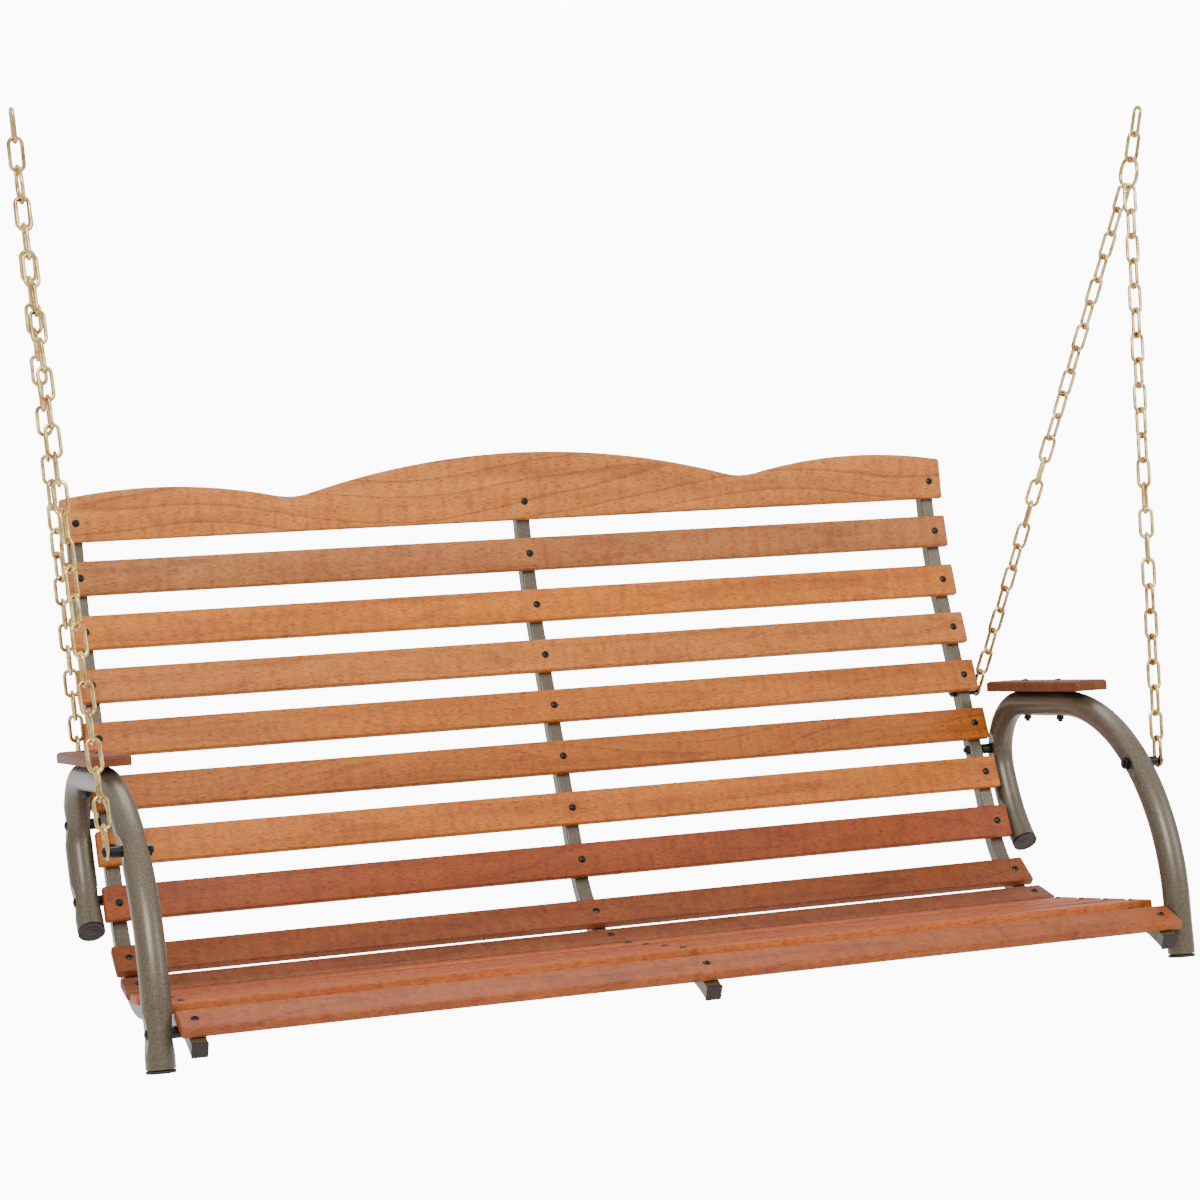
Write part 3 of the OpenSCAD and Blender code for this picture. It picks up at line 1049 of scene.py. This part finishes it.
    def build(self, material: bpy.types.Material) -> None:
        """Make every cap and plug.

        Args:
            material: What they are made of.
        """
        cap = self.round_cap()
        ease(cap, self.ease_mm, 2)
        for place in ("rear_cap_left", "rear_cap_right", "foot_cap_left", "foot_cap_right"):
            node = "arm_" + place
            piece = twin(cap)
            centre, outward = self.face_of(node)
            settle(piece, centre, facing(outward))
            self.finish(joined("ringed_" + node, [piece]), node, material)
        plug = self.square_plug()
        ease(plug, self.ease_mm, 2)
        for node in ("rib_front_plugs", "rib_top_plugs"):
            low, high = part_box(node)
            third = (high[0] - low[0]) / 3
            pieces = []
            for i in range(3):
                piece = twin(plug)
                edge = low[0] + i * third
                centre, outward = self.face_of(node, edge, low[0] + (i + 1) * third)
                settle(piece, centre, facing(outward))
                pieces.append(piece)
            self.finish(joined("ridged_" + node, pieces), node, material)
        bpy.data.objects.remove(cap)
        bpy.data.objects.remove(plug)

    def finish(self, piece: bpy.types.Object, node: str, material: bpy.types.Material) -> None:
        """Dress a plug and let it stand for its CAD node.

        Args:
            piece: The plug, in its place.
            node: The CAD node.
            material: What it is made of.
        """
        dress(piece, material)
        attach(piece, "seat")
        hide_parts(node)
        LOG.info("plug %s", node)


@dataclass
class SlatScrews:
    """The domed screws that hold the slats to the ribs, with a round socket in each head.

    Attributes:
        head_r: Radius of the head.
        head_h: Height of the head's dome.
        shank_r: Radius of the shank.
        socket_r: Radius of the socket.
        socket_h: Depth of the socket.
        socket_h: Depth of the socket.
        sides: How many sides the screw is drawn with.
        dome_steps: Each ring of the dome outside the socket, as a share of the head's radius.
        tip: How much of the far end is searched for the shank's flat end.
        hair: How far out a height may be and still be taken as the same.
    """

    frame: dict
    head_r: float = 5 * MM
    head_h: float = 2.2 * MM
    shank_r: float = 2.5 * MM
    socket_r: float = 1.9 * MM
    socket_h: float = 1.3 * MM
    sides: int = 24
    dome_steps: tuple[float, ...] = (1.0, 0.85, 0.66, 0.5)
    tip: float = 1.5 * MM
    hair: float = 0.01 * MM

    def places(self, node: str) -> list[tuple[Vector, Vector, float]]:
        """Find each screw of a CAD node.

        Args:
            node: The CAD node.

        Returns:
            The top of each head, its outward direction and the screw's whole length.
        """
        source = self.frame["nodes"][node]
        mesh = bmesh.new()
        mesh.from_mesh(source.data)
        bmesh.ops.remove_doubles(mesh, verts=mesh.verts, dist=NEAR)
        left = set(mesh.verts)
        found = []
        for seed in mesh.verts:
            if seed not in left:
                continue
            left.discard(seed)
            island, edge_on = [], [seed]
            while edge_on:
                vert = edge_on.pop()
                island.append(vert)
                for edge in vert.link_edges:
                    other = edge.other_vert(vert)
                    if other in left:
                        left.discard(other)
                        edge_on.append(other)
            # A dict keeps the faces in order, so that every run measures them alike.
            flats = dict.fromkeys(face for vert in island for face in vert.link_faces)
            found.append(self.measure([vert.co.copy() for vert in island], list(flats)))
        mesh.free()
        return found

    def measure(
        self, points: list[Vector], faces: list[bmesh.types.BMFace]
    ) -> tuple[Vector, Vector, float]:
        """Find one screw's top, direction and length, the direction from its shank's flat end.

        Args:
            points: The screw's mesh points.
            faces: The screw's faces.

        Returns:
            The top of the head, its outward direction and the whole length.
        """
        pairs = ((a, b) for a in points[::3] for b in points[::7])
        far = max(pairs, key=lambda pair: (pair[0] - pair[1]).length)
        rough = (far[0] - far[1]).normalized()
        along = [p.dot(rough) for p in points]
        # Most of the points are on the head, so the mean is nearer to it.
        if max(along) - sum(along) / len(along) > sum(along) / len(along) - min(along):
            rough, along = -rough, [-value for value in along]
        tip = [f for f in faces if f.calc_center_median().dot(rough) < min(along) + self.tip]
        level = [f for f in tip if f.normal.dot(rough) < -0.9]
        axis = -max(level, key=lambda f: f.calc_area()).normal.copy()
        side = Vector((0, -axis.z, axis.y))
        along = [p.dot(axis) for p in points]
        off = [p.dot(side) for p in points]
        x_mid = (min(p.x for p in points) + max(p.x for p in points)) / 2
        top = axis * max(along) + side * (max(off) + min(off)) / 2 + Vector((x_mid, 0, 0))
        return top, axis, max(along) - min(along)

    def model(self, length: float) -> bpy.types.Object:
        """Model one screw, the top of its head at the origin and looking up.

        Args:
            length: The whole length, head and shank.

        Returns:
            The screw.
        """
        bpy.ops.object.select_all(action="DESELECT")
        shank_l = length - self.head_h
        bpy.ops.mesh.primitive_cylinder_add(
            vertices=self.sides,
            radius=self.shank_r,
            depth=shank_l,
            location=(0, 0, -self.head_h - shank_l / 2),
        )
        screw = bpy.context.active_object
        bpy.ops.object.transform_apply(location=True, rotation=False, scale=False)
        bpy.ops.object.mode_set(mode="EDIT")
        pick(screw, -self.head_h - self.hair, FAR)
        dome_r = (self.head_r**2 + self.head_h**2) / (2 * self.head_h)
        radius = self.shank_r
        height = -self.head_h
        for share in (*self.dome_steps, self.socket_r / self.head_r):
            wanted = self.head_r * share
            level = math.sqrt(dome_r**2 - wanted**2) - dome_r
            rise = (0, 0, level - height)
            bpy.ops.mesh.extrude_region_move(TRANSFORM_OT_translate={"value": rise})
            grow = wanted / radius
            bpy.ops.transform.resize(value=(grow, grow, 1))
            radius, height = wanted, level
        bpy.ops.mesh.extrude_region_move(TRANSFORM_OT_translate={"value": (0, 0, -self.socket_h)})
        bpy.ops.object.mode_set(mode="OBJECT")
        bpy.ops.object.shade_smooth_by_angle(angle=SHARP)
        return screw

    def build(self, material: bpy.types.Material) -> None:
        """Make every slat screw.

        Args:
            material: What they are made of.
        """
        for node in ("slat_screws_left", "slat_screws_center", "slat_screws_right"):
            pieces = []
            for top, outward, length in self.places(node):
                screw = self.model(length)
                settle(screw, top, facing(outward))
                pieces.append(screw)
            piece = joined("socket_" + node, pieces)
            dress(piece, material)
            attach(piece, "seat")
            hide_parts(node)
            LOG.info("screws %s, %d of them", node, len(pieces))


# ---- the room -----------------------------------------------------------------


@dataclass(frozen=True)
class SoftBox:
    """A square soft light.

    Attributes:
        name: Its name.
        where: Where it hangs.
        size: The length of its side.
        watts: Its power.
    """

    name: str
    where: tuple[float, float, float]
    size: float
    watts: float


SOFT_BOXES = (
    SoftBox("key_box", (-1.6, -3.2, 2.6), 2.0, 210.0),
    SoftBox("fill_box", (3.0, -2.2, 1.2), 2.0, 60.0),
    SoftBox("back_box", (0.5, 2.8, 2.2), 2.4, 70.0),
)


@dataclass
class Studio:
    """A white floor, soft lights and the camera.

    Attributes:
        floor_z: The floor's height.
        floor_w: The floor's width.
        seen_white: How bright the floor and the sky are to the eye.
        sky_light: How strongly the sky lights the swing.
        lit_point: What the soft boxes point at.
        eye: Where the camera stands.
        aim_deg: The camera's turn about X, Y and Z.
        lens_mm: The camera's focal length.
        sensor_mm: The camera's sensor width.
        sight: How far the camera sees.
    """

    floor_z: float = -1.52
    floor_w: float = 40.0
    seen_white: float = 12.0
    sky_light: float = 1.15
    lit_point: tuple[float, float, float] = (0.0, 0.0, -0.8)
    eye: tuple[float, float, float] = (-1.2534, -3.3787, 0.2347)
    aim_deg: tuple[float, float, float] = (76.7441, -1.2633, -20.0103)
    lens_mm: float = 87.673
    sensor_mm: float = 36.0
    sight: float = 100.0

    def floor(self) -> None:
        """Lay the floor."""
        bpy.ops.mesh.primitive_plane_add(size=self.floor_w, location=(0, 0, self.floor_z))
        floor = bpy.context.active_object
        floor.name = "floor"
        material, tree, shader = new_material("matt_white_floor")
        grain = noise(tree, place_of(tree), 3.0, 2.0)
        tone = ramp(tree, grain, [(0.0, "#F2F2F2"), (1.0, "#F6F6F6")])
        tree.links.new(tone, shader.inputs["Base Color"])
        shader.inputs["Roughness"].default_value = 0.9
        glow = add_node(tree, "Emission", {}, {"Strength": self.seen_white}, {"Color": tone})
        seen = add_node(tree, "LightPath")
        mixed = add_node(
            tree,
            "MixShader",
            links={0: seen.outputs["Is Camera Ray"], 1: shader.outputs[0], 2: glow.outputs[0]},
        )
        tree.links.new(mixed.outputs[0], tree.nodes["Material Output"].inputs["Surface"])
        dress(floor, material)

    def lights(self) -> None:
        """Hang the soft boxes and set the sky."""
        world = bpy.data.worlds.new("soft_sky")
        bpy.context.scene.world = world
        world.use_nodes = True
        tree = world.node_tree
        sky = tree.nodes["Background"]
        sky.inputs["Color"].default_value = (1.0, 1.0, 1.0, 1.0)
        direction = add_node(tree, "TexCoord").outputs["Generated"]
        split = add_node(tree, "SeparateXYZ", links={0: direction})
        low, high = 0.4 * self.sky_light, 1.5 * self.sky_light
        lit = add_node(
            tree,
            "MapRange",
            {},
            {"From Min": -0.2, "From Max": 0.8, "To Min": low, "To Max": high},
            {"Value": split.outputs["Z"]},
        )
        seen = add_node(tree, "LightPath")
        strength = add_node(
            tree,
            "MapRange",
            {},
            {"To Max": self.seen_white},
            {"Value": seen.outputs["Is Camera Ray"], "To Min": lit.outputs[0]},
        )
        tree.links.new(strength.outputs[0], sky.inputs["Strength"])
        for box in SOFT_BOXES:
            data = bpy.data.lights.new(box.name, "AREA")
            data.energy = box.watts
            data.size = box.size
            lamp = bpy.data.objects.new(box.name, data)
            lamp.location = box.where
            aim = Vector(self.lit_point) - Vector(box.where)
            lamp.rotation_euler = aim.to_track_quat("-Z", "Y").to_euler()
            bpy.context.collection.objects.link(lamp)

    def camera(self) -> None:
        """Set up the camera."""
        data = bpy.data.cameras.new("view")
        data.lens = self.lens_mm
        data.sensor_width = self.sensor_mm
        data.clip_end = self.sight
        view = bpy.data.objects.new("view", data)
        view.location = self.eye
        view.rotation_euler = [math.radians(a) for a in self.aim_deg]
        bpy.context.collection.objects.link(view)
        bpy.context.scene.camera = view


def main() -> None:
    """Build the swing's looks in order and report each piece."""
    logging.basicConfig(level=logging.INFO, format="%(message)s")
    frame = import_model()
    bpy.ops.object.select_all(action="DESELECT")
    studio = Studio()
    studio.camera()
    studio.floor()
    studio.lights()
    metals = {
        "bronze_powder_coat": BronzePowderCoat().make(),
        "end_plugs": MouldedPlug().make(),
        "black_hardware": BlackOxide().make(),
        "yellow_zinc": YellowZinc().make(),
    }
    for row in frame["record"]["subparts"]:
        if row["material_slot"] in metals:
            dress(frame["nodes"][row["node"]], metals[row["material_slot"]])
    Boards(frame).build()
    EndPlugs(frame).build(metals["end_plugs"])
    SlatScrews(frame).build(metals["black_hardware"])


if __name__ == "__main__":
    main()
